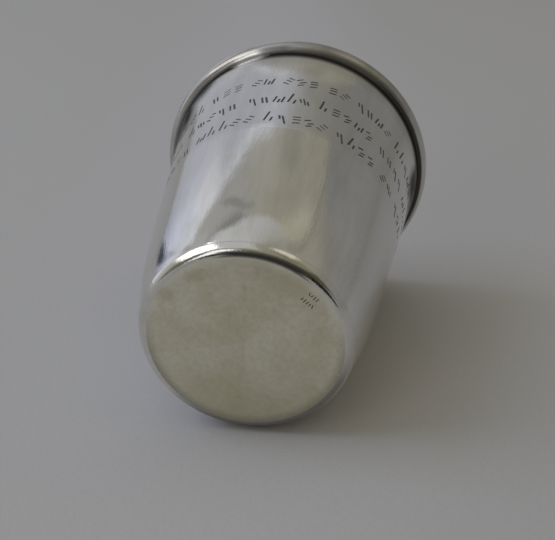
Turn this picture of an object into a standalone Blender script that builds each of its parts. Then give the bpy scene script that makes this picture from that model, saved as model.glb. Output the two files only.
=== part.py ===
"""Kiddush cup: a tapered silver beaker, spun from one piece of sheet, standing on its base.

Metres, +Z up. The cup's axis is the Z axis and the underside of its base lies on z = 0.
One profile, from the middle of the cup's floor over the lip and down to the middle of the
underside, is turned about Z.
"""

import math

import bpy

MM = 0.001

# Driving dimensions of the cup.
HEIGHT = 80.0 * MM
WALL_THICKNESS = 0.8 * MM
BASE_THICKNESS = 1.0 * MM
SEGMENTS = 72  # a multiple of four, so that the cup's box is its true diameter

# The side: a straight taper that tucks in above the heel and flares a little under the lip.
SIDE_RADIUS = 22.45 * MM  # radius of the straight taper, carried down to z = 0
SIDE_TAPER = 0.092  # growth of the radius for each unit of height
TUCK_DEPTH = 3.17 * MM
TUCK_HEIGHT = 6.3 * MM
FLARE_DEPTH = 0.7 * MM
FLARE_POWER = 6
SIDE_STEPS = 17

# The heel: a rounded rim round the flat underside, standing a little proud of the side.
BASE_FLAT_RADIUS = 19.0 * MM
# Its bends from the base up: radius, the angle of the face after the bend, and steps.
HEEL_BENDS = (
    (1.6 * MM, math.radians(-41), 4),
    (4.4 * MM, math.radians(-24), 3),
    (0.3 * MM, math.radians(70), 5),
)
HEEL_CREASE = 1.98 * MM  # height at which the side meets the rim

# The rounded moulding round the outside of the lip.
MOULDING_PROUD = 1.95 * MM
MOULDING_HALF_HEIGHT = 2.2 * MM
MOULDING_STEPS = 12
LIP_STEPS = 4

# The inside, from the wall to the floor.
FLOOR_FILLET = 3.0 * MM
FILLET_STEPS = 5
INSIDE_STEPS = 10

SILVER_COLOUR = (0.80, 0.79, 0.76, 1.0)
SILVER_ROUGHNESS = 0.15

MOULDING_FOOT = HEIGHT - 2 * MOULDING_HALF_HEIGHT


def side_radius(z):
    """Outer radius of the side at height z, between the heel and the moulding."""
    tuck = TUCK_DEPTH * math.exp(-z / TUCK_HEIGHT)
    flare = FLARE_DEPTH * (z / MOULDING_FOOT) ** FLARE_POWER
    return SIDE_RADIUS + SIDE_TAPER * z - tuck + flare


def steps(start, end, count):
    """count + 1 even values from start to end."""
    return [start + (end - start) * i / count for i in range(count + 1)]


def oval(centre, half_width, half_height, start, end, count):
    """Points (r, z) on an oval, by angle from the horizontal."""
    return [
        (centre[0] + half_width * math.cos(a), centre[1] + half_height * math.sin(a))
        for a in steps(start, end, count)
    ]


def inside_points():
    """From the middle of the cup's floor up over the rounded inner edge to the top of the lip."""
    fillet_top = BASE_THICKNESS + FLOOR_FILLET
    inner_radius = side_radius(fillet_top) - WALL_THICKNESS
    fillet = oval(
        (inner_radius - FLOOR_FILLET, fillet_top),
        FLOOR_FILLET, FLOOR_FILLET, -math.pi / 2, 0.0, FILLET_STEPS,
    )
    wall = []
    for z in steps(fillet_top, MOULDING_FOOT, INSIDE_STEPS)[1:]:
        wall.append((side_radius(z) - WALL_THICKNESS, z))
    lip = oval(
        (side_radius(MOULDING_FOOT), HEIGHT - WALL_THICKNESS),
        WALL_THICKNESS, WALL_THICKNESS, math.pi, math.pi / 2, LIP_STEPS,
    )
    return [(0.0, BASE_THICKNESS)] + fillet + wall + lip


def heel_points():
    """The rim's arcs, from the crease above it down to the edge of the flat underside."""
    points = [(BASE_FLAT_RADIUS, 0.0)]
    angle = -math.pi / 2
    for radius, next_angle, count in HEEL_BENDS:
        r, z = points[-1]
        centre = (r - radius * math.cos(angle), z - radius * math.sin(angle))
        points += oval(centre, radius, radius, angle, next_angle, count)[1:]
        angle = next_angle
    return points[::-1]


def outside_points():
    """From the top of the moulding down the side and round the heel to the middle of the base."""
    moulding = oval(
        (side_radius(MOULDING_FOOT), HEIGHT - MOULDING_HALF_HEIGHT),
        MOULDING_PROUD, MOULDING_HALF_HEIGHT, math.pi / 2, -math.pi / 2, MOULDING_STEPS,
    )
    # The side's stations are closer together near the heel, where it curves most.
    side = []
    for share in steps(1.0, 0.0, SIDE_STEPS)[1:]:
        z = HEEL_CREASE + (MOULDING_FOOT - HEEL_CREASE) * share**1.6
        side.append((side_radius(z), z))
    return moulding[1:] + side + heel_points() + [(0.0, 0.0)]


def silver():
    material = bpy.data.materials.new("Polished silver")
    material.use_nodes = True
    shader = material.node_tree.nodes["Principled BSDF"]
    shader.inputs["Base Color"].default_value = SILVER_COLOUR
    shader.inputs["Metallic"].default_value = 1.0
    shader.inputs["Roughness"].default_value = SILVER_ROUGHNESS
    return material


def turned(name, points, material, collection):
    """An object whose profile of (r, z) points is turned about Z."""
    mesh = bpy.data.meshes.new(name)
    edges = [(i, i + 1) for i in range(len(points) - 1)]
    mesh.from_pydata([(r, 0.0, z) for r, z in points], edges, [])
    mesh.materials.append(material)
    piece = bpy.data.objects.new(name, mesh)
    collection.objects.link(piece)
    screw = piece.modifiers.new("Turn", "SCREW")
    screw.axis = "Z"
    screw.steps = SEGMENTS
    screw.render_steps = SEGMENTS
    screw.use_merge_vertices = True
    screw.merge_threshold = 0.00001
    screw.use_smooth_shade = False
    return piece


for leftover in list(bpy.data.objects):
    bpy.data.objects.remove(leftover)

parts = bpy.data.collections.new("Kiddush cup")
bpy.context.scene.collection.children.link(parts)
turned("cup", inside_points() + outside_points(), silver(), parts)
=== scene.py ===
"""Looks of a silver kiddush cup: a tapered beaker with a moulded lip and three engraved rows.

Metres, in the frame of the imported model: the cup stands on z = 0 with its mouth at +Z. The
camera and the table are turned instead, so that the cup lies on its side before the camera.
"""

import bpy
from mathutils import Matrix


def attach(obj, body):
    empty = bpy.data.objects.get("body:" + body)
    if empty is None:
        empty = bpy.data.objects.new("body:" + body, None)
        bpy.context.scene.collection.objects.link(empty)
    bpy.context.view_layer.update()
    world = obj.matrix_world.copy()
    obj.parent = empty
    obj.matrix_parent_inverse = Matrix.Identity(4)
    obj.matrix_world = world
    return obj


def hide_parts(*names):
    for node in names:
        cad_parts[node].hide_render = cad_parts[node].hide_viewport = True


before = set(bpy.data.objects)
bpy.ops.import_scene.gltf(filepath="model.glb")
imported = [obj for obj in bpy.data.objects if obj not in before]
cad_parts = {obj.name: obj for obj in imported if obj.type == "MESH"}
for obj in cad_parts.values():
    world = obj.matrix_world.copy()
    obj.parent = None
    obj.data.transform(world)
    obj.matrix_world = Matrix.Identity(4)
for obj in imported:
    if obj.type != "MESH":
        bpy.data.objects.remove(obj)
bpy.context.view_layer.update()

import math
import random

import bpy
from mathutils import Matrix, Vector

MM = 0.001

# The camera. The cup lies on a table on its belly and its lip, with its base towards the
# camera, and the camera looks down on it. LEAN is how far the axis then rises to the mouth.
LEAN = math.radians(7.72)
TURN = math.radians(8.1)  # from the camera's line of sight to the cup's axis, on the table
PITCH = math.radians(23.17)
LENS = 70.76
CAMERA_PLACE = (6.2 * MM, -183.6 * MM, 93.5 * MM)  # right, ahead and up from the cup's base

cup_axis = Vector((0.0, 0.0, 1.0))
table_up = Vector((math.sqrt(0.5) * math.cos(LEAN), -math.sqrt(0.5) * math.cos(LEAN), math.sin(LEAN)))
along = (cup_axis - table_up * math.sin(LEAN)).normalized()
ahead = along * math.cos(TURN) - along.cross(table_up) * math.sin(TURN)
right = ahead.cross(table_up)


def on_table(across, forward, above):
    """A point given by its distances to the right, ahead and up, from the middle of the base."""
    return right * across + ahead * forward + table_up * above


camera_up = ahead * math.sin(PITCH) + table_up * math.cos(PITCH)
camera = bpy.data.objects.new("Camera", bpy.data.cameras.new("Camera"))
camera.data.lens = LENS
camera.matrix_world = Matrix.Translation(on_table(*CAMERA_PLACE)) @ Matrix(
    (right, camera_up, right.cross(camera_up))
).transposed().to_4x4()
bpy.context.scene.collection.objects.link(camera)
bpy.context.scene.camera = camera
bpy.context.scene.view_settings.view_transform = "Standard"

# The body. It is spun from one sheet of silver: a plain taper, tucked in above a rounded heel
# and turned over at the lip into a rounded moulding. Outside it is polished.
HEIGHT = 80.0 * MM
WALL_THICKNESS = 0.8 * MM
BASE_THICKNESS = 1.0 * MM
SEGMENTS = 360
SIDE_RADIUS = 22.45 * MM  # radius of the straight taper, carried down to z = 0
SIDE_TAPER = 0.092
SIDE_STEPS = 32
SIDE_CROWDING = 1.6  # how much closer the side's steps are near the heel, where it curves most
TUCK_DEPTH = 3.17 * MM
TUCK_HEIGHT = 6.3 * MM
FLARE_DEPTH = 0.7 * MM
FLARE_POWER = 6
BASE_FLAT_RADIUS = 19.0 * MM
# The heel's bends from the base up, as radius and the angle of the face after it.
HEEL_BENDS = ((1.6 * MM, math.radians(-41)), (4.4 * MM, math.radians(-24)), (0.3 * MM, math.radians(70)))
HEEL_CREASE = 1.98 * MM
HEEL_STEPS = 10
MOULDING_PROUD = 1.95 * MM
MOULDING_HALF_HEIGHT = 2.2 * MM
MOULDING_FOOT = HEIGHT - 2 * MOULDING_HALF_HEIGHT
MOULDING_STEPS = 28
LIP_STEPS = 8
FLOOR_FILLET = 3.0 * MM
FILLET_STEPS = 10
INSIDE_STEPS = 24
MERGE = 0.000001


def side_radius(z):
    """Outer radius of the side at height z, between the heel and the moulding."""
    tuck = TUCK_DEPTH * math.exp(-z / TUCK_HEIGHT)
    flare = FLARE_DEPTH * (z / MOULDING_FOOT) ** FLARE_POWER
    return SIDE_RADIUS + SIDE_TAPER * z - tuck + flare


def steps(start, end, count):
    """count + 1 even values from start to end."""
    return [start + (end - start) * i / count for i in range(count + 1)]


def oval(centre, half_width, half_height, start, end, count):
    """Points (r, z) on an oval, by angle from the horizontal."""
    return [
        (centre[0] + half_width * math.cos(a), centre[1] + half_height * math.sin(a))
        for a in steps(start, end, count)
    ]


def heel_profile():
    """The heel's arcs, from its crease down to the edge of the flat base."""
    points = [(BASE_FLAT_RADIUS, 0.0)]
    angle = -math.pi / 2
    for radius, next_angle in HEEL_BENDS:
        r, z = points[-1]
        centre = (r - radius * math.cos(angle), z - radius * math.sin(angle))
        points += oval(centre, radius, radius, angle, next_angle, HEEL_STEPS)[1:]
        angle = next_angle
    return points[::-1]


def body_profile():
    """The cup's section, from the middle of its floor over the lip to the middle of its base."""
    fillet_top = BASE_THICKNESS + FLOOR_FILLET
    inner_radius = side_radius(fillet_top) - WALL_THICKNESS
    points = [(0.0, BASE_THICKNESS)] + oval(
        (inner_radius - FLOOR_FILLET, fillet_top),
        FLOOR_FILLET, FLOOR_FILLET, -math.pi / 2, 0.0, FILLET_STEPS,
    )
    for z in steps(fillet_top, MOULDING_FOOT, INSIDE_STEPS)[1:]:
        points.append((side_radius(z) - WALL_THICKNESS, z))
    lip_radius = side_radius(MOULDING_FOOT)
    points += oval(
        (lip_radius, HEIGHT - WALL_THICKNESS),
        WALL_THICKNESS, WALL_THICKNESS, math.pi, math.pi / 2, LIP_STEPS,
    )
    points += oval(
        (lip_radius, HEIGHT - MOULDING_HALF_HEIGHT),
        MOULDING_PROUD, MOULDING_HALF_HEIGHT, math.pi / 2, -math.pi / 2, MOULDING_STEPS,
    )[1:]
    for share in steps(1.0, 0.0, SIDE_STEPS)[1:]:
        z = HEEL_CREASE + (MOULDING_FOOT - HEEL_CREASE) * share**SIDE_CROWDING
        points.append((side_radius(z), z))
    return points + heel_profile() + [(0.0, 0.0)]


def select_nothing():
    """Deselects everything, so that an operator acts only on what is picked next."""
    for other in bpy.context.selected_objects:
        other.select_set(False)


def select_only(piece):
    """Leaves piece as the one selected and active object."""
    select_nothing()
    piece.select_set(True)
    bpy.context.view_layer.objects.active = piece


def turned(name, points):
    """An object whose outline of (r, z) points is drawn by extrusion and spun about Z."""
    r, z = points[0]
    select_nothing()
    bpy.ops.mesh.primitive_plane_add(size=MM)
    piece = bpy.context.object
    piece.name = name
    bpy.ops.object.mode_set(mode="EDIT")
    bpy.ops.mesh.merge(type="CENTER")
    bpy.ops.transform.translate(value=(r, 0.0, z))
    for next_r, next_z in points[1:]:
        bpy.ops.mesh.extrude_region_move(
            TRANSFORM_OT_translate={"value": (next_r - r, 0.0, next_z - z)}
        )
        r, z = next_r, next_z
    bpy.ops.mesh.select_all(action="SELECT")
    bpy.ops.mesh.spin(steps=SEGMENTS, angle=2 * math.pi, center=(0, 0, 0), axis=(0, 0, 1))
    bpy.ops.mesh.select_all(action="SELECT")
    bpy.ops.mesh.remove_doubles(threshold=MERGE)
    bpy.ops.mesh.normals_make_consistent(inside=False)
    bpy.ops.object.mode_set(mode="OBJECT")
    return piece


cup = turned("kiddush_cup", body_profile())


class Shade:
    """A socket of a shader. Arithmetic on it adds Math nodes to its tree."""

    def __init__(self, tree, socket=None):
        self.tree = tree
        self.socket = socket

    def node(self, kind, settings=None, inputs=None, output=0):
        """The output of a new node, given its settings and its sockets' values or links."""
        made = self.tree.nodes.new("ShaderNode" + kind)
        for name, value in (settings or {}).items():
            if name == "stops":
                while len(made.color_ramp.elements) < len(value):
                    made.color_ramp.elements.new(1.0)
                for element, (place, colour) in zip(made.color_ramp.elements, value):
                    element.position = place
                    element.color = (*colour, 1.0)
            else:
                setattr(made, name, value)
        for name, value in (inputs or {}).items():
            if isinstance(value, Shade):
                self.tree.links.new(value.socket, made.inputs[name])
            else:
                made.inputs[name].default_value = value
        return Shade(self.tree, made.outputs[output])

    def math(self, operation, *others):
        values = dict(enumerate((self, *others)))
        return self.node("Math", {"operation": operation}, values)

    def __add__(self, other):
        return self.math("ADD", other)

    __radd__ = __add__

    def __sub__(self, other):
        return self.math("SUBTRACT", other)

    def __rsub__(self, other):
        return self.node("Math", {"operation": "SUBTRACT"}, {0: other, 1: self})

    def __mul__(self, other):
        return self.math("MULTIPLY", other)

    __rmul__ = __mul__

    def greatest(self, *others):
        """The greatest of this value and the others."""
        found = self
        for other in others:
            found = found.math("MAXIMUM", other)
        return found

    def step(self, low, high):
        """0 below low and 1 above high, with a soft step between them."""
        settings = {"interpolation_type": "SMOOTHSTEP"}
        return self.node("MapRange", settings, {0: self, 1: low, 2: high})

    def along(self, axis):
        """How far this place or direction reaches along the axis."""
        return self.node("VectorMath", {"operation": "DOT_PRODUCT"}, {0: self, 1: axis}, "Value")

    def distance(self, point):
        """How far this place is from the point."""
        return self.node("VectorMath", {"operation": "DISTANCE"}, {0: self, 1: point}, "Value")

    def noise(self, scale, detail, roughness=0.6):
        """Cloudy values about 0.5 at this place."""
        sockets = {"Vector": self, "Scale": scale, "Detail": detail, "Roughness": roughness}
        return self.node("TexNoise", {}, sockets)

    def bump(self, strength, depth, under=None):
        """The normal of a surface that this height raises, on top of the normal under it."""
        sockets = {"Strength": strength, "Distance": depth, "Height": self}
        if under is not None:
            sockets["Normal"] = under
        return self.node("Bump", {}, sockets)

    def mixed(self, below, above):
        """The colour below where this value is 0, and the colour above where it is 1."""
        return self.node("Mix", {"data_type": "RGBA"}, {0: self, 6: below, 7: above}, 2)

    def ramp(self, *stops):
        """The colour at this value, between stops of a value and a colour each."""
        low, high = stops[0][0], stops[-1][0]
        places = [((value - low) / (high - low), colour[:3]) for value, colour in stops]
        return self.node("ValToRGB", {"stops": places}, {0: (self - low) * (1 / (high - low))})

    def finish(self, surface):
        """Links surface to the tree's output."""
        output = self.tree.nodes.new("ShaderNodeOutputMaterial")
        self.tree.links.new(surface.socket, output.inputs["Surface"])


def new_shader(name):
    """An empty material and the Shade that starts its tree."""
    material = bpy.data.materials.new(name)
    material.use_nodes = True
    material.node_tree.nodes.clear()
    return material, Shade(material.node_tree)


def marbled(place, scale, detail, low, high):
    """Soft cloudy patches, 0 to 1."""
    return place.noise(scale, detail).step(low, high)


def streaks(place, stretch, turn=0.0):
    """Long thin lines: noise drawn out along one axis, after a turn about Z."""
    drawn = place.node("Mapping", {}, {"Vector": place, "Rotation": (0.0, 0.0, turn), "Scale": stretch})
    return drawn.noise(1.0, 3.0)


# Outside, the side is polished, and has been wiped along the cup for years. Grime lies where no
# cloth reaches, in the crease under the lip. The same dark colour also paints shade: in that crease,
# as a dark reflection on the flanks below the lip, and along the lip's left edge. The edge of the base
# is darkened as well.
SILVER = (0.83, 0.825, 0.81, 1.0)
TARNISHED = (0.75, 0.735, 0.66, 1.0)
RUBBED = (0.68, 0.68, 0.67, 1.0)
# Silver painted darker for the side away from the window: painted shade.
PAINTED_SHADE_SILVER = (0.69, 0.68, 0.66, 1.0)
GRIME_AND_PAINTED_SHADE = (0.035, 0.032, 0.026, 1.0)
# Directions from the cup's axis out, named as the cup lies before the camera.
FRONT = (0.848, -0.530, 0.0)
CLEANED_SIDE = (0.415, -0.910, 0.0)  # where the crease under the lip has been wiped
AWAY_FROM_WINDOW = (0.819, 0.574, 0.0)  # the side away from the window, painted darker: painted shade
LEFT_SIDE = (-0.225, -0.974, 0.0)
LOWER_RIM = (-0.423, 0.906, 0.0)
UPPER_RIM = (0.853, -0.522, 0.0)
SMUDGE = (25.0 * MM, -11.0 * MM, 59.0 * MM)  # the middle of a fingermark
# In the shading, the side bends a little under the lowest row and curls in towards the lip.
BEND_HEIGHT = 42.0 * MM
BEND_SOFT = 0.9 * MM
BEND_SLOPE = 0.02
CURL_HEIGHT = 64.0 * MM
CURL = 2.9

polished, shade = new_shader("Polished silver")
place = shade.node("TexCoord", output="Object")
level = shade.node("SeparateXYZ", {}, {0: place}, "Z")
hairlines = streaks(place, (2600.0, 2600.0, 60.0))
wiped = streaks(place, (380.0, 380.0, 22.0))
broad = streaks(place, (120.0, 120.0, 14.0))
smears = marbled(place, 95.0, 4.0, 0.42, 0.75)
dull = smears * 0.5 + wiped.step(0.45, 0.75) * 0.35 + broad.step(0.5, 0.75) * 0.3
dull = dull + level.step(3.0 * MM, 1.6 * MM) * 0.5

# At the edge of the base: darker on its lower side, towards the table, and a fine dark line on its upper
# side.
lower_edge_darkening = level.step(0.8 * MM, 0.2 * MM) * place.along(LOWER_RIM).step(5.0 * MM, 16.0 * MM) * 0.6
upper_edge_dark_line = level.step(0.30 * MM, 0.08 * MM) * place.along(UPPER_RIM).step(16.9 * MM, 18.3 * MM) * 0.93
# Towards the lip: a haze of dirt over the rows and a film above them, a painted dark reflection on
# the flanks, painted shade along the left edge, and most in the crease itself, grime deepened by
# painted shade, apart from where that has been wiped.
haze = level.step(40.5 * MM, 43.0 * MM) * 0.06
film = level.step(MOULDING_FOOT - 8.5 * MM, MOULDING_FOOT - 1.0 * MM) * (0.25 + 0.1 * smears)
fronting = place.along(FRONT)
leftward = place.along(LEFT_SIDE)
flank_sides = fronting.step(13.0 * MM, 8.5 * MM)
flank_sides = flank_sides.greatest((fronting - 0.9 * leftward).step(-10.0 * MM, -16.5 * MM))
flank_sides = flank_sides * fronting.step(-9.0 * MM, 1.5 * MM)
# Painted dark reflection of shade on the flanks below the lip.
flank_painted_reflection = 0.76 + 0.2 * smears + leftward.step(0.0, 20.0 * MM) * 0.12
flank_painted_reflection = level.step(55.0 * MM, 67.0 * MM) * flank_sides * flank_painted_reflection
# Painted shade: the shadow line under the lip, darkest on the left.
left_edge_painted_shade = leftward.step(26.9 * MM, 29.0 * MM) * (0.92 + 0.1 * smears)
left_edge_painted_shade = level.step(MOULDING_FOOT - 9.5 * MM, MOULDING_FOOT - 1.5 * MM) * left_edge_painted_shade
smudge = (place.distance(SMUDGE) + 4.0 * MM * smears).step(10.0 * MM, 4.0 * MM) * 0.14
# The crease under the lip: grime in the hollow, made darker with painted shade.
crease = level.step(MOULDING_FOOT - 3.4 * MM, MOULDING_FOOT - 0.9 * MM)
cleaned = place.along(CLEANED_SIDE).step(29.55 * MM, 29.92 * MM)
# All the dark marks together: grime and a haze, with painted shade and painted dark reflection.
grime_and_shade = film.greatest(haze, lower_edge_darkening, upper_edge_dark_line, flank_painted_reflection, left_edge_painted_shade, smudge, crease)
grime_and_shade = grime_and_shade * (1 - 0.65 * cleaned)
thick = grime_and_shade * grime_and_shade  # where the grime and painted shade are thin, the metal keeps its shine

# Painted shade: duller silver on the side away from the window.
away_side_shade = place.along(AWAY_FROM_WINDOW).math("DIVIDE", SIDE_RADIUS + SIDE_TAPER * level).step(0.88, 0.98)
colour = (wiped.step(0.38, 0.68) * 0.4).mixed(dull.mixed(SILVER, TARNISHED), RUBBED)
colour = grime_and_shade.mixed(away_side_shade.mixed(colour, PAINTED_SHADE_SILVER), GRIME_AND_PAINTED_SHADE)
waves = place.noise(60.0, 2.0, 0.5).bump(
    0.07, 0.6 * MM, wiped.bump(0.08, 0.4 * MM, hairlines.bump(0.10, 0.2 * MM)))
curl = (level - CURL_HEIGHT).greatest(0.0)
bend = level.greatest(BEND_HEIGHT - BEND_SOFT) + level.greatest(BEND_HEIGHT + BEND_SOFT)
bend = bend * (-BEND_SLOPE / 2)
shade.finish(shade.node("BsdfPrincipled", {}, {
    "Base Color": colour,
    "Metallic": 1.0 - 0.9 * thick * thick,
    "Specular IOR Level": 0.0,
    "Roughness": 0.035 + 0.03 * hairlines + 0.07 * dull + 0.4 * grime_and_shade,
    "Normal": (bend + CURL * curl * curl).bump(1.0, 1.0, waves)}))

# The lip's moulding is worn satin. The crease under it holds grime and is painted darker as shade,
# most on the side away from the window, and fingers have wiped one place bright and left another dull.
LIP_WORN = (0.64, 0.63, 0.61, 1.0)
LIP_DARK = (0.37, 0.355, 0.33, 1.0)
LIP_BRIGHT = (0.95, 0.94, 0.92, 1.0)
# The side on which the lip is darker.
LIP_DARKER_SIDE = (0.956, -0.292, 0.0)
# The middles of the wiped, the dull and the soiled place.
LIP_WIPED = (13.2 * MM, -28.3 * MM, 76.1 * MM)
LIP_DULLED = (9.8 * MM, -30.1 * MM, 76.8 * MM)
LIP_SOILED = (18.3 * MM, -25.1 * MM, 75.9 * MM)

lip_finish, shade = new_shader("Satin lip")
place = shade.node("TexCoord", output="Object")
level = shade.node("SeparateXYZ", {}, {0: place}, "Z")
clouds = 0.5 * marbled(place, 110.0, 4.0, 0.4, 0.7)
clouds = clouds + 0.75 * place.along(LIP_DARKER_SIDE).step(25.0 * MM, 31.0 * MM)
away_side = place.along(AWAY_FROM_WINDOW).step(20.0 * MM, 28.0 * MM)
wiped = place.distance(LIP_WIPED).step(5.5 * MM, 2.5 * MM)
# Grime in the crease under the moulding, with painted shade, deeper on the side away from the window.
crease_grime_and_shade = (level - 0.15 * MM * away_side).step(MOULDING_FOOT + 0.24 * MM, MOULDING_FOOT)
crease_grime_and_shade = crease_grime_and_shade * (0.6 + 0.28 * away_side) * (1 - 0.45 * wiped)
soiled = place.distance(LIP_SOILED).step(5.2 * MM, 2.2 * MM)
soiled = soiled * level.step(MOULDING_FOOT + 1.2 * MM, MOULDING_FOOT + 0.4 * MM)
crease_grime_and_shade = crease_grime_and_shade.greatest(soiled * 0.55)
wiped = wiped * level.step(MOULDING_FOOT + 0.7 * MM, MOULDING_FOOT + 0.35 * MM)
dulled = place.distance(LIP_DULLED).step(8.0 * MM, 4.0 * MM)
dulled = dulled * level.step(MOULDING_FOOT + 0.2 * MM, MOULDING_FOOT + 0.7 * MM)
dulled = dulled * level.step(MOULDING_FOOT + 1.6 * MM, MOULDING_FOOT + 1.1 * MM)
colour = (clouds * 0.8).greatest(dulled * 0.85).mixed(LIP_WORN, LIP_DARK)
shade.finish(shade.node("BsdfPrincipled", {}, {
    "Base Color": crease_grime_and_shade.mixed(wiped.mixed(colour, LIP_BRIGHT), GRIME_AND_PAINTED_SHADE),
    "Metallic": 1.0 - 0.6 * crease_grime_and_shade,
    "Specular IOR Level": 0.0,
    "Roughness": 0.23 + 0.08 * clouds + 0.2 * crease_grime_and_shade,
    "Normal": place.noise(1500.0, 2.0).bump(0.08, 0.1 * MM)}))

# Under the base the silver is left satin. It has yellowed and is finely scratched, with darker
# specks and two brown stains. As the cup lies, the base's edge has a painted highlight above and
# painted shade below, with a fine dark line on its upper side.
BASE_PALE = (0.83, 0.79, 0.645, 1.0)
BASE_YELLOWED = (0.69, 0.645, 0.455, 1.0)
BASE_MOTTLED = (0.52, 0.51, 0.41, 1.0)
BASE_LOW = (0.60, 0.57, 0.36, 1.0)
RIM_PAINTED_SHADE = (0.30, 0.28, 0.22, 1.0)
RIM_PAINTED_HIGHLIGHT = (0.97, 0.95, 0.83, 1.0)
SPECKS = (0.50, 0.45, 0.33, 1.0)
STAINED = (0.50, 0.44, 0.27, 1.0)
SCRATCHED = (0.93, 0.92, 0.88, 1.0)
RISING = (0.707, -0.707, 0.0)  # straight up across the base, as the cup lies
SCRATCH_TURNS = (1.9, -0.5, 2.8)
# Each stain's place and radius.
STAINS = (((4.0 * MM, -16.3 * MM, 0.0), 2.2 * MM), ((-3.5 * MM, -17.5 * MM, 0.0), 2.6 * MM))

base_finish, shade = new_shader("Satin base")
place = shade.node("TexCoord", output="Object")
clouds = marbled(place, 90.0, 6.0, 0.35, 0.68)
colour = (clouds * 0.8).mixed(BASE_PALE, BASE_YELLOWED)
colour = (marbled(place, 900.0, 6.0, 0.40, 0.66) * 0.26).mixed(colour, BASE_MOTTLED)
upper = place.along(UPPER_RIM)
colour = (upper.step(-4.0 * MM, -17.0 * MM) * 0.35).mixed(colour, BASE_LOW)
from_axis = shade.node("VectorMath", {"operation": "LENGTH"}, {0: place}, "Value")
# Painted highlight on the upper side of the base's edge and painted shade on its lower side.
rim_painted_light = place.along(RISING).step(-6.0 * MM, 10.0 * MM).mixed(RIM_PAINTED_SHADE, RIM_PAINTED_HIGHLIGHT)
colour = (from_axis.step(16.8 * MM, 19.2 * MM) * 0.6).mixed(colour, rim_painted_light)
# A fine dark line along the upper side of the base's edge.
base_edge_dark_line = from_axis.step(18.45 * MM, 18.9 * MM) * upper.step(15.8 * MM, 17.9 * MM) * 0.8
colour = base_edge_dark_line.mixed(colour, GRIME_AND_PAINTED_SHADE)
specks = marbled(place, 420.0, 3.0, 0.60, 0.74) * marbled(place, 60.0, 2.0, 0.45, 0.6)
colour = (specks * 0.5).mixed(colour, SPECKS)
wandering = place.noise(300.0, 3.0)
for stain, radius in STAINS:
    away = place.distance(stain) * (1 / radius)
    colour = ((away + 1.4 * wandering).step(1.75, 1.0) * 0.42).mixed(colour, STAINED)
scratches = streaks(place, (2300.0, 210.0, 1.0), 0.6).step(0.64, 0.72)
for turn in SCRATCH_TURNS:
    scratches = scratches.greatest(streaks(place, (2500.0, 170.0, 1.0), turn).step(0.65, 0.73))
grain = place.noise(2400.0, 2.0)
shade.finish(shade.node("BsdfPrincipled", {}, {
    "Base Color": (scratches * 0.3).mixed(colour, SCRATCHED),
    "Metallic": 1.0,
    "Roughness": 0.27 + 0.08 * clouds,
    "Normal": (grain - 0.6 * scratches).bump(0.12, 0.1 * MM)}))

# Inside, the silver is satin too, with the fine rings that turning left round it. It shows a
# little tarnish in soft clouds.
satin, shade = new_shader("Satin inside")
place = shade.node("TexCoord", output="Object")
clouds = marbled(place, 70.0, 4.0, 0.4, 0.7)
rings = streaks(place, (40.0, 40.0, 3000.0))
shade.finish(shade.node("BsdfPrincipled", {}, {
    "Base Color": (clouds * 0.5).mixed(SILVER, TARNISHED),
    "Metallic": 1.0,
    "Roughness": 0.24 + 0.08 * clouds + 0.06 * rings,
    "Normal": rings.bump(0.08, 0.1 * MM)}))

# Each face takes the finish of its place. The side's comes first, as every face starts with it.
BASE, INSIDE, LIP = 1, 2, 3
for finish in (polished, base_finish, satin, lip_finish):
    cup.data.materials.append(finish)
for face in cup.data.polygons:
    from_axis = face.center.xy.length
    middle_of_wall = side_radius(face.center.z) - WALL_THICKNESS / 2
    if face.center.z < MERGE:
        face.material_index = BASE
    elif face.center.z > BASE_THICKNESS - MERGE and from_axis < middle_of_wall:
        face.material_index = INSIDE
    elif face.center.z > MOULDING_FOOT:
        face.material_index = LIP

# The engraving: three rows of short strokes around the upper body, cut with a burin that leaves
# narrow grooves with sloping sides and dark tarnish in them.
ROW_HEIGHTS = (45.1 * MM, 53.4 * MM, 61.9 * MM)
CUT_LENGTH = 2.4 * MM
CUT_WIDTH = 0.47 * MM
CUT_DEPTH = 0.15 * MM
CUT_END = 0.16 * MM  # what the bevel takes off the corners at each end
GROOVE_FLOOR = (0.2, 0.8, 1.0)  # the floor of the groove, as a share of its mouth
IN_THE_CUTS = (0.15, 0.148, 0.14, 1.0)
MARK_PITCH = 2.85 * MM
WORD_GAP = 1.5 * MM
ROW_START = math.radians(135)  # the rows begin and end on the side away from the camera
ROW_GAP = math.radians(14)
# How far the hand strays: shares of a width, a length, a pitch and a gap, degrees, and mm.
WIDTH_STRAYS = (0.85, 1.1)
LENGTH_STRAYS = (0.9, 1.05)
PITCH_STRAYS = (0.97, 1.08)
GAP_STRAYS = (0.8, 1.3)
START_STRAYS = (0.5, 0.8)
SLANT_STRAYS = (-3, 3)
ACROSS_STRAYS = (-0.04, 0.04)
UP_STRAYS = (-0.08, 0.08)
FIRST_WORD = (3, 6)  # the fewest and the most marks in a word
WORD = (2, 5)
SEED = 18
SMOOTH_BELOW = math.radians(22)  # edges sharper than this stay crisp
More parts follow.
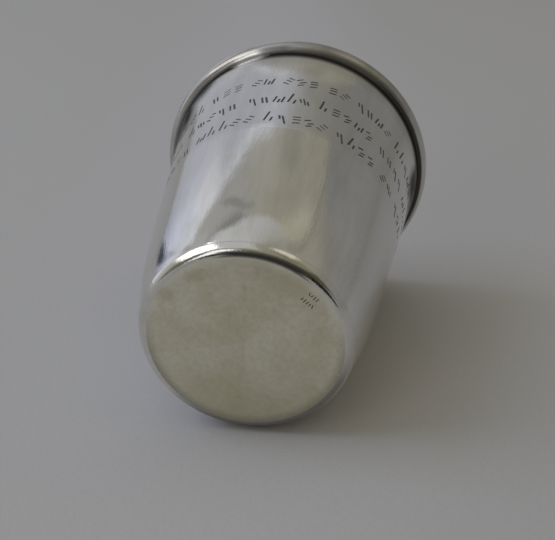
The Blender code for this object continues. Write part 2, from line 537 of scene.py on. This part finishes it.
# Each mark is one to three strokes side by side: across, up and length in mm, and slant.
MARKS = (
    ((-0.88, 0.1, 2.8, 10), (0.0, -0.55, 1.7, 10), (0.88, 0.0, 2.7, 10)),
    ((-0.05, 1.25, 2.0, 76), (0.05, 0.1, 2.0, 76), (0.0, -1.1, 1.9, 76)),
    ((-0.85, 0.3, 1.8, -14), (0.0, 0.0, 2.9, -14), (0.85, -0.3, 1.8, -14)),
    ((-0.6, -0.9, 1.5, -56), (0.0, 0.1, 1.6, -56), (0.6, 1.1, 1.5, -56)),
    ((-0.65, -0.2, 2.8, -10), (0.35, -0.2, 2.8, -10)),
    ((-0.45, 1.1, 1.6, 62), (0.3, 0.0, 1.7, 62), (0.0, -1.2, 1.6, 62)),
    ((-0.4, 0.9, 4.2, 10), (0.65, -0.5, 1.8, 10)),
    ((0.42, -0.5, 3.8, -12), (-0.62, 0.4, 1.8, -12)),
)


def pick(piece, kind, test):
    """Opens the piece for editing, with only the edges or faces that pass the test selected."""
    select_only(piece)
    bpy.ops.object.mode_set(mode="EDIT")
    bpy.ops.mesh.select_mode(type=kind)
    bpy.ops.mesh.select_all(action="DESELECT")
    bpy.ops.object.mode_set(mode="OBJECT")
    for item in piece.data.polygons if kind == "FACE" else piece.data.edges:
        item.select = test(item)
    bpy.ops.object.mode_set(mode="EDIT")


def burin_cut():
    """The cutter of one stroke: a bar with rounded ends, over a narrow ridge that cuts the groove."""
    select_nothing()
    bpy.ops.mesh.primitive_cube_add(size=1.0)
    bar = bpy.context.object
    bpy.ops.object.mode_set(mode="EDIT")
    bpy.ops.transform.resize(value=(CUT_WIDTH, CUT_LENGTH, CUT_DEPTH))
    bpy.ops.transform.translate(value=(0.0, 0.0, CUT_DEPTH / 2))
    bpy.ops.object.mode_set(mode="OBJECT")
    corner = bar.data.vertices
    pick(bar, "EDGE", lambda e: abs(corner[e.vertices[0]].co.z - corner[e.vertices[1]].co.z) > CUT_DEPTH / 2)
    bpy.ops.mesh.bevel(offset=CUT_END, segments=2)
    bpy.ops.object.mode_set(mode="OBJECT")
    pick(bar, "FACE", lambda f: f.normal.z < -0.9)
    bpy.ops.mesh.extrude_region_move(TRANSFORM_OT_translate={"value": (0.0, 0.0, -CUT_DEPTH)})
    bpy.ops.transform.resize(value=GROOVE_FLOOR, center_override=(0.0, 0.0, -CUT_DEPTH))
    bpy.ops.object.mode_set(mode="OBJECT")
    return bar


def stroke(place, upwards, outwards, size, slant):
    """A copy of the cutter, laid on the surface at place."""
    copy = cut.copy()
    copy.data = cut.data.copy()
    bpy.context.scene.collection.objects.link(copy)
    lie = Matrix((upwards.cross(outwards), upwards, outwards)).transposed().to_4x4()
    turn = Matrix.Rotation(-math.radians(slant), 4, "Z")
    copy.data.transform(Matrix.Translation(place) @ lie @ turn @ Matrix.Diagonal((*size, 1.0)))
    return copy


def stroke_on_side(angle, z, length, slant):
    """A stroke on the side of the cup, at an angle around it and a height."""
    lean = math.atan2(side_radius(z + MM) - side_radius(z - MM), 2 * MM)
    out = Vector((math.cos(angle), math.sin(angle), 0.0))
    upwards = out * math.sin(lean) + cup_axis * math.cos(lean)
    outwards = out * math.cos(lean) - cup_axis * math.sin(lean)
    size = (chance.uniform(*WIDTH_STRAYS), length / CUT_LENGTH * chance.uniform(*LENGTH_STRAYS), 1.0)
    slant = slant + chance.uniform(*SLANT_STRAYS)
    return stroke(out * side_radius(z) + cup_axis * z, upwards, outwards, size, slant)


def engraved_row(height):
    """The strokes of one row: words of a few marks each, with a space between words."""
    row = []
    radius = side_radius(height)
    angle = ROW_START + ROW_GAP * chance.uniform(*START_STRAYS)
    left_in_word = chance.randint(*FIRST_WORD)
    while angle < ROW_START + 2 * math.pi - ROW_GAP / 2:
        for across, up, length, slant in chance.choice(MARKS):
            aside = (across + chance.uniform(*ACROSS_STRAYS)) * MM / radius
            level = height + (up + chance.uniform(*UP_STRAYS)) * MM
            row.append(stroke_on_side(angle + aside, level, length * MM, slant))
        angle += MARK_PITCH / radius * chance.uniform(*PITCH_STRAYS)
        left_in_word -= 1
        if not left_in_word:
            angle += WORD_GAP / radius * chance.uniform(*GAP_STRAYS)
            left_in_word = chance.randint(*WORD)
    return row


tarnish, shade = new_shader("Tarnish in the cuts")
shade.finish(shade.node("BsdfPrincipled", {}, {
    "Base Color": IN_THE_CUTS, "Metallic": 0.7, "Roughness": 0.5}))
cut = burin_cut()
cut.data.materials.append(tarnish)
chance = random.Random(SEED)
strokes = []
for height in ROW_HEIGHTS:
    strokes += engraved_row(height)

# The struck marks: two short lines of small plain strokes near the edge of the base. They are
# cut out of the body together with the rows.
MARK_LINES = ((-1.0 * MM, 5), (0.75 * MM, 4))  # how far each line is from the middle, and its count
MARK_SPACING = 0.62 * MM
MARK_LENGTH = 0.7 * MM
MARK_LENGTH_STRAYS = (0.9, 1.45)
MARK_NARROWED = 0.4
MARK_SHALLOWED = 0.8
MARK_SLANTS = (60, 120)
mark_middle = Vector((16.3 * MM, 1.5 * MM, 0.0))
mark_line = Vector((0.05, 1.0, 0.0)).normalized()
for aside, count in MARK_LINES:
    for number in range(count):
        along_line = (number - (count - 1) / 2) * MARK_SPACING
        place = mark_middle + mark_line * along_line + mark_line.cross(cup_axis) * aside
        length = chance.uniform(*MARK_LENGTH_STRAYS) * MARK_LENGTH / CUT_LENGTH
        size = (MARK_NARROWED, length, MARK_SHALLOWED)
        strokes.append(stroke(place, mark_line, -cup_axis, size, chance.uniform(*MARK_SLANTS)))

select_only(cut)
bpy.ops.object.delete()
for piece in strokes:
    piece.select_set(True)
bpy.context.view_layer.objects.active = strokes[0]
bpy.ops.object.join()
cutters = bpy.context.object
cut_in = cup.modifiers.new("Engraving", "BOOLEAN")
cut_in.operation = "DIFFERENCE"
cut_in.solver = "EXACT"
cut_in.material_mode = "TRANSFER"
cut_in.object = cutters
select_only(cup)
bpy.ops.object.modifier_apply(modifier=cut_in.name)
bpy.data.objects.remove(cutters)
bpy.ops.object.shade_smooth_by_angle(angle=SMOOTH_BELOW)
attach(cup, "root")
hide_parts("cup")

# The table: a pale matt sheet, level under the lying cup. It shows from above only, so
# that the cup can be looked at from behind it.
TABLE_DROP = 21.34 * MM  # from the middle of the base down to the table
TABLE_SIZE = 6.0
TABLE_NEAR = (0.645, 0.62, 0.585, 1.0)
TABLE_FAR = (0.645, 0.62, 0.615, 1.0)
TABLE_LEFT = (0.605, 0.583, 0.55, 1.0)
# Darker to the right, where the cup's shadow and the falling off of the light reach: painted shade.
TABLE_RIGHT_PAINTED_SHADE = (0.585, 0.56, 0.525, 1.0)
TABLE_WEAVE = (0.35, 0.34, 0.33, 1.0)


def plane(name, centre, axes, size):
    """A square sheet in the plane of the first two axes."""
    select_nothing()
    bpy.ops.mesh.primitive_plane_add(size=size)
    sheet = bpy.context.object
    sheet.name = name
    sheet.data.transform(Matrix.Translation(centre) @ Matrix(axes).transposed().to_4x4())
    return sheet


def one_sided(surface):
    """The surface from the front, and nothing from the back."""
    back = surface.node("NewGeometry", output="Backfacing")
    return surface.node("MixShader", {}, {0: back, 1: surface, 2: surface.node("BsdfTransparent")})


table = plane("Table", on_table(0.0, 0.0, -TABLE_DROP), (right, ahead, table_up), TABLE_SIZE)
pale, shade = new_shader("Pale matt sheet")
place = shade.node("TexCoord", output="Object")
aside = place.along(right)
colour = place.along(ahead).step(-60.0 * MM, 110.0 * MM).mixed(TABLE_NEAR, TABLE_FAR)
colour = aside.step(0.0, -75.0 * MM).mixed(colour, TABLE_LEFT)
# Painted shade towards the right.
colour = aside.step(0.0, 80.0 * MM).mixed(colour, TABLE_RIGHT_PAINTED_SHADE)
colour = (marbled(place, 1600.0, 2.0, 0.3, 0.7) * 0.10).mixed(colour, TABLE_WEAVE)
shade.finish(one_sided(shade.node("BsdfPrincipled", {}, {"Base Color": colour, "Roughness": 0.9})))
table.data.materials.append(pale)

# A second sheet, level under the standing cup. Only the camera sees it, and only from above.
STAND_GAP = 0.05 * MM
stand_axes = (Vector((1.0, 0.0, 0.0)), Vector((0.0, 1.0, 0.0)), cup_axis)
stand = plane("Sheet under the standing cup", cup_axis * -STAND_GAP, stand_axes, TABLE_SIZE)
stand.data.materials.append(pale)
stand.visible_diffuse = False
stand.visible_glossy = False
stand.visible_transmission = False
stand.visible_shadow = False

# The room that the silver shows: a light ceiling, duller walls with a pale panel on the left,
# and the dark shape of whoever holds the camera. It is painted on the world, in degrees.
PER_DEGREE = 1 / math.radians(1)
ROOM_BRIGHTNESS = 1.20

world = bpy.data.worlds.new("Room")
bpy.context.scene.world = world
world.use_nodes = True
world.node_tree.nodes.clear()
shade = Shade(world.node_tree)
direction = shade.node("TexCoord", output="Generated")
to_right, to_ahead = direction.along(right), direction.along(ahead)
bearing = to_right.math("ARCTAN2", to_ahead) * PER_DEGREE  # 0 ahead, positive to the right
behind = (0 - to_right).math("ARCTAN2", 0 - to_ahead) * PER_DEGREE  # 0 behind, positive left
height = direction.along(table_up).math("ARCSINE") * PER_DEGREE


def grey(level, yellow=0.0):
    """A linear colour from a display level of 0 to 255, with blue lowered by yellow."""
    return tuple(((level + shift) / 255) ** 2.2 for shift in (0.2 * yellow, 0.0, -yellow)) + (1.0,)


def window(value, low, high, soft):
    """1 between low and high and 0 outside, with edges of that softness."""
    return value.step(low - soft, low + soft) * (1 - value.step(high - soft, high + soft))


def blot(side, up, width, tall, slant):
    """A soft oval about a bearing and a height, leaning to the right by slant degrees."""
    across, rise = bearing - side, height - up
    lean = math.radians(slant)
    wide = (across * math.cos(lean) - rise * math.sin(lean)) * (1 / width)
    high = (across * math.sin(lean) + rise * math.cos(lean)) * (1 / tall)
    return 1 - (wide * wide + high * high).step(0.15, 1.0)


# The wall on the right, with a skirting line low down, and the shaded wall left of it.
right_wall = height.ramp(
    (-6, grey(122, 0)), (2, grey(118, 1)), (20, grey(120, 3)), (26, grey(117, 6)),
    (33, grey(126, 9)), (40, grey(132, 11)), (60, grey(128, 12)))
right_wall = (window(height, 0.2, 1.3, 0.5) * 0.7).mixed(right_wall, grey(98, 3))
shaded = bearing.ramp(
    (4, grey(144, 0)), (14, grey(132, 3)), (28, grey(119, 4)), (36, grey(112, 3)),
    (44, grey(115, 1)), (54, grey(121, 1)))

# The warm panel, over the seam that parts it from the wall on the right.
past = bearing - 38
seam = height - 33.5 - 0.62 * past + 0.002 * past * past
panel = bearing.ramp(
    (-26, grey(131, 2)), (-8, grey(143, 6)), (2, grey(141, 8)), (14, grey(135, 11)), (28, grey(132, 11)),
    (36, grey(141, 12)), (44, grey(151, 14)), (60, grey(145, 13)), (78, grey(124, 10)))
panel = (height.step(46, 37) * bearing.step(22, 34) * 0.55).mixed(panel, grey(122, 11))

# The left: the wall above, the window's light on it, the blind below, and what is beside it.
left_wall = height.ramp(
    (34, grey(149, -1)), (44, grey(146, 1)), (50, grey(136, 2)), (56, grey(116, 1)), (62, grey(118, 1)))
window_side = bearing.ramp(
    (-64, grey(158, -2)), (-52, grey(156, 0)), (-44, grey(148, 1)), (-20, grey(138, 2)))
blind = height.ramp(
    (-6, grey(130, -10)), (3, grey(156, -14)), (12, grey(184, -15)), (24, grey(187, -11)),
    (34, grey(194, -7)))
blind = bearing.step(-36, -21).mixed(blind, grey(157, -7))
blind = (blot(-30, 27, 7, 10, 10) * 0.7).mixed(blind, grey(196, -5))
beside = bearing.ramp(
    (-112, grey(98, 8)), (-92, grey(131, 4)), (-86, grey(160, 0)), (-75, grey(160, -1)),
    (-66, grey(196, -6)), (-58, grey(200, -10)))
beside = (height.step(22, 31) * window(bearing, -72, -50, 3)).mixed(beside, grey(145, 0))
ceiling = bearing.ramp(
    (-60, grey(172, -2)), (-20, grey(166, 0)), (10, grey(158, 1)), (50, grey(146, 7)), (72, grey(133, 9)))

# The upper band, with its darker patches and the seam's shadow.
upper = bearing.step(-22, -10).mixed((height.step(54, 44) * 0.7).mixed(left_wall, window_side), panel)
upper = (blot(-19.5, 47, 2.6, 13, 48) * 0.8).mixed(upper, grey(116, 4))
upper = (blot(15, 43.5, 11, 2.6, 0) * 0.5).mixed(upper, grey(114, 8))
upper = (blot(-8, 53.5, 6, 2.5, 0) * 0.55).mixed(upper, grey(112, 4))
upper = seam.step(1.0, -1.0).mixed(upper, right_wall)
upper = (window(seam, -2.0, 0.0, 0.5) * window(bearing, 36, 74, 4) * 0.85).mixed(upper, grey(105, 8))

# The top edge of the blind and, from there, the lower edge of the panel.
edge = 34.6 + 0.355 * (bearing + 24).greatest(0.0)
edge = edge.math("MINIMUM", 42.2 - 0.35 * (bearing - 12).greatest(0.0))
lit_edge = window(edge - height, 0.3, 3.0, 0.8) * window(bearing, -46, -2, 4) * 0.7
blind = lit_edge.mixed(blind, grey(188, -5))

# All of it together, from the lower band up and round to what is behind.
room = bearing.step(42, 54).mixed(shaded, right_wall)
room = bearing.step(-1, 9).mixed(blind, room)
room = bearing.step(-54, -58).mixed(room, beside)
room = (blot(-41, 1.5, 4.5, 14, -54) * 0.95).mixed(room, grey(58, -12))
room = (blot(-50, 12, 3.2, 11, -30) * 0.4).mixed(room, grey(110, -12))
room = (height - edge).step(-0.4, 0.4).mixed(room, upper)
room = (height - 60 + bearing.step(-28, -56) * 8).step(-2, 3).mixed(room, ceiling)
room = (window(bearing, 116, 181, 4) * window(height, 6, 31, 4)).mixed(room, grey(72, 14))
room = (window(bearing, 118, 181, 5) * window(height, 31, 62, 4)).mixed(room, grey(112, 18))
room = (window(bearing, 88, 130, 4) * window(height, 52, 73, 4)).mixed(room, grey(192, 16))
rear = height.ramp(
    (-10, grey(34, 6)), (8, grey(50, 8)), (23, grey(76, 12)), (38, grey(106, 12)), (56, grey(136, 12)))
room = (window(behind, -30, 28, 6) * height.step(64, 56)).mixed(room, rear)
emitted = shade.node("Background", {}, {"Color": room, "Strength": ROOM_BRIGHTNESS})
output = world.node_tree.nodes.new("ShaderNodeOutputWorld")
world.node_tree.links.new(emitted.socket, output.inputs["Surface"])

# The lights: the window on the left, a second one beside the camera, and the blue of the sky,
# which comes through the first and doesn't show in the silver. Angles are in degrees, as above.
LEFT_WINDOW = (-91, 43, 1.5, 0.94, 0.85)
NEAR_WINDOW = (-144, 21, 1.5, 0.48, 1.05)
DAYLIGHT = (1.0, 1.0, 0.985)
COOL_LIGHT = (0.99, 0.99, 1.0)
SKY_BLUE = (0.06, 0.33, 1.0)


def light(name, place, brightness, colour):
    """A soft light facing the cup, given its bearing, height, distance, width and tallness."""
    side, up, distance, width, tall = place
    lamp = bpy.data.objects.new(name, bpy.data.lights.new(name, "AREA"))
    lamp.data.shape = "RECTANGLE"
    lamp.data.size = width
    lamp.data.size_y = tall
    lamp.data.energy = brightness * math.pi * width * tall
    lamp.data.color = colour
    side, up = math.radians(side), math.radians(up)
    outward = (
        right * math.sin(side) * math.cos(up) + ahead * math.cos(side) * math.cos(up)
        + table_up * math.sin(up)
    )
    level = table_up.cross(outward).normalized()
    lamp.matrix_world = Matrix.Translation(outward * distance) @ Matrix(
        (level, outward.cross(level), outward)
    ).transposed().to_4x4()
    bpy.context.scene.collection.objects.link(lamp)
    return lamp


light("Window", LEFT_WINDOW, 1.28, DAYLIGHT)
light("Window beside the camera", NEAR_WINDOW, 1.15, COOL_LIGHT)
sky = light("Sky through the window", LEFT_WINDOW, 1.36, SKY_BLUE)
sky.visible_glossy = False

# Whoever holds the camera also darkens what the silver sees low down in front of it: their shadow
# on the table. A dark sheet that fades out at both sides paints that shadow, and only reflections show it.
SHAPE_HEIGHT = 37.0 * MM
SHAPE_WIDTH = 126.0 * MM
SHAPE_PLACE = (9.0 * MM, -72.0 * MM, 6.2 * MM)
SHAPE_FADE = 0.09  # share of the width
HOLDER_SHADOW = (0.05, 0.047, 0.04, 1.0)

shape_axes = (right * SHAPE_WIDTH, table_up * SHAPE_HEIGHT, -ahead)
shape = plane("Shape behind the camera", on_table(*SHAPE_PLACE), shape_axes, 1.0)
dark, shade = new_shader("Painted shadow of the camera holder")
place = shade.node("TexCoord", output="Generated")
across = shade.node("SeparateXYZ", {}, {0: place}, "X")
shade.finish(shade.node("MixShader", {}, {
    0: window(across, SHAPE_FADE, 1 - SHAPE_FADE, SHAPE_FADE),
    1: shade.node("BsdfTransparent"),
    2: shade.node("BsdfPrincipled", {}, {"Base Color": HOLDER_SHADOW, "Roughness": 0.9})}))
shape.data.materials.append(dark)
shape.visible_camera = False
shape.visible_diffuse = False
shape.visible_transmission = False
shape.visible_shadow = False
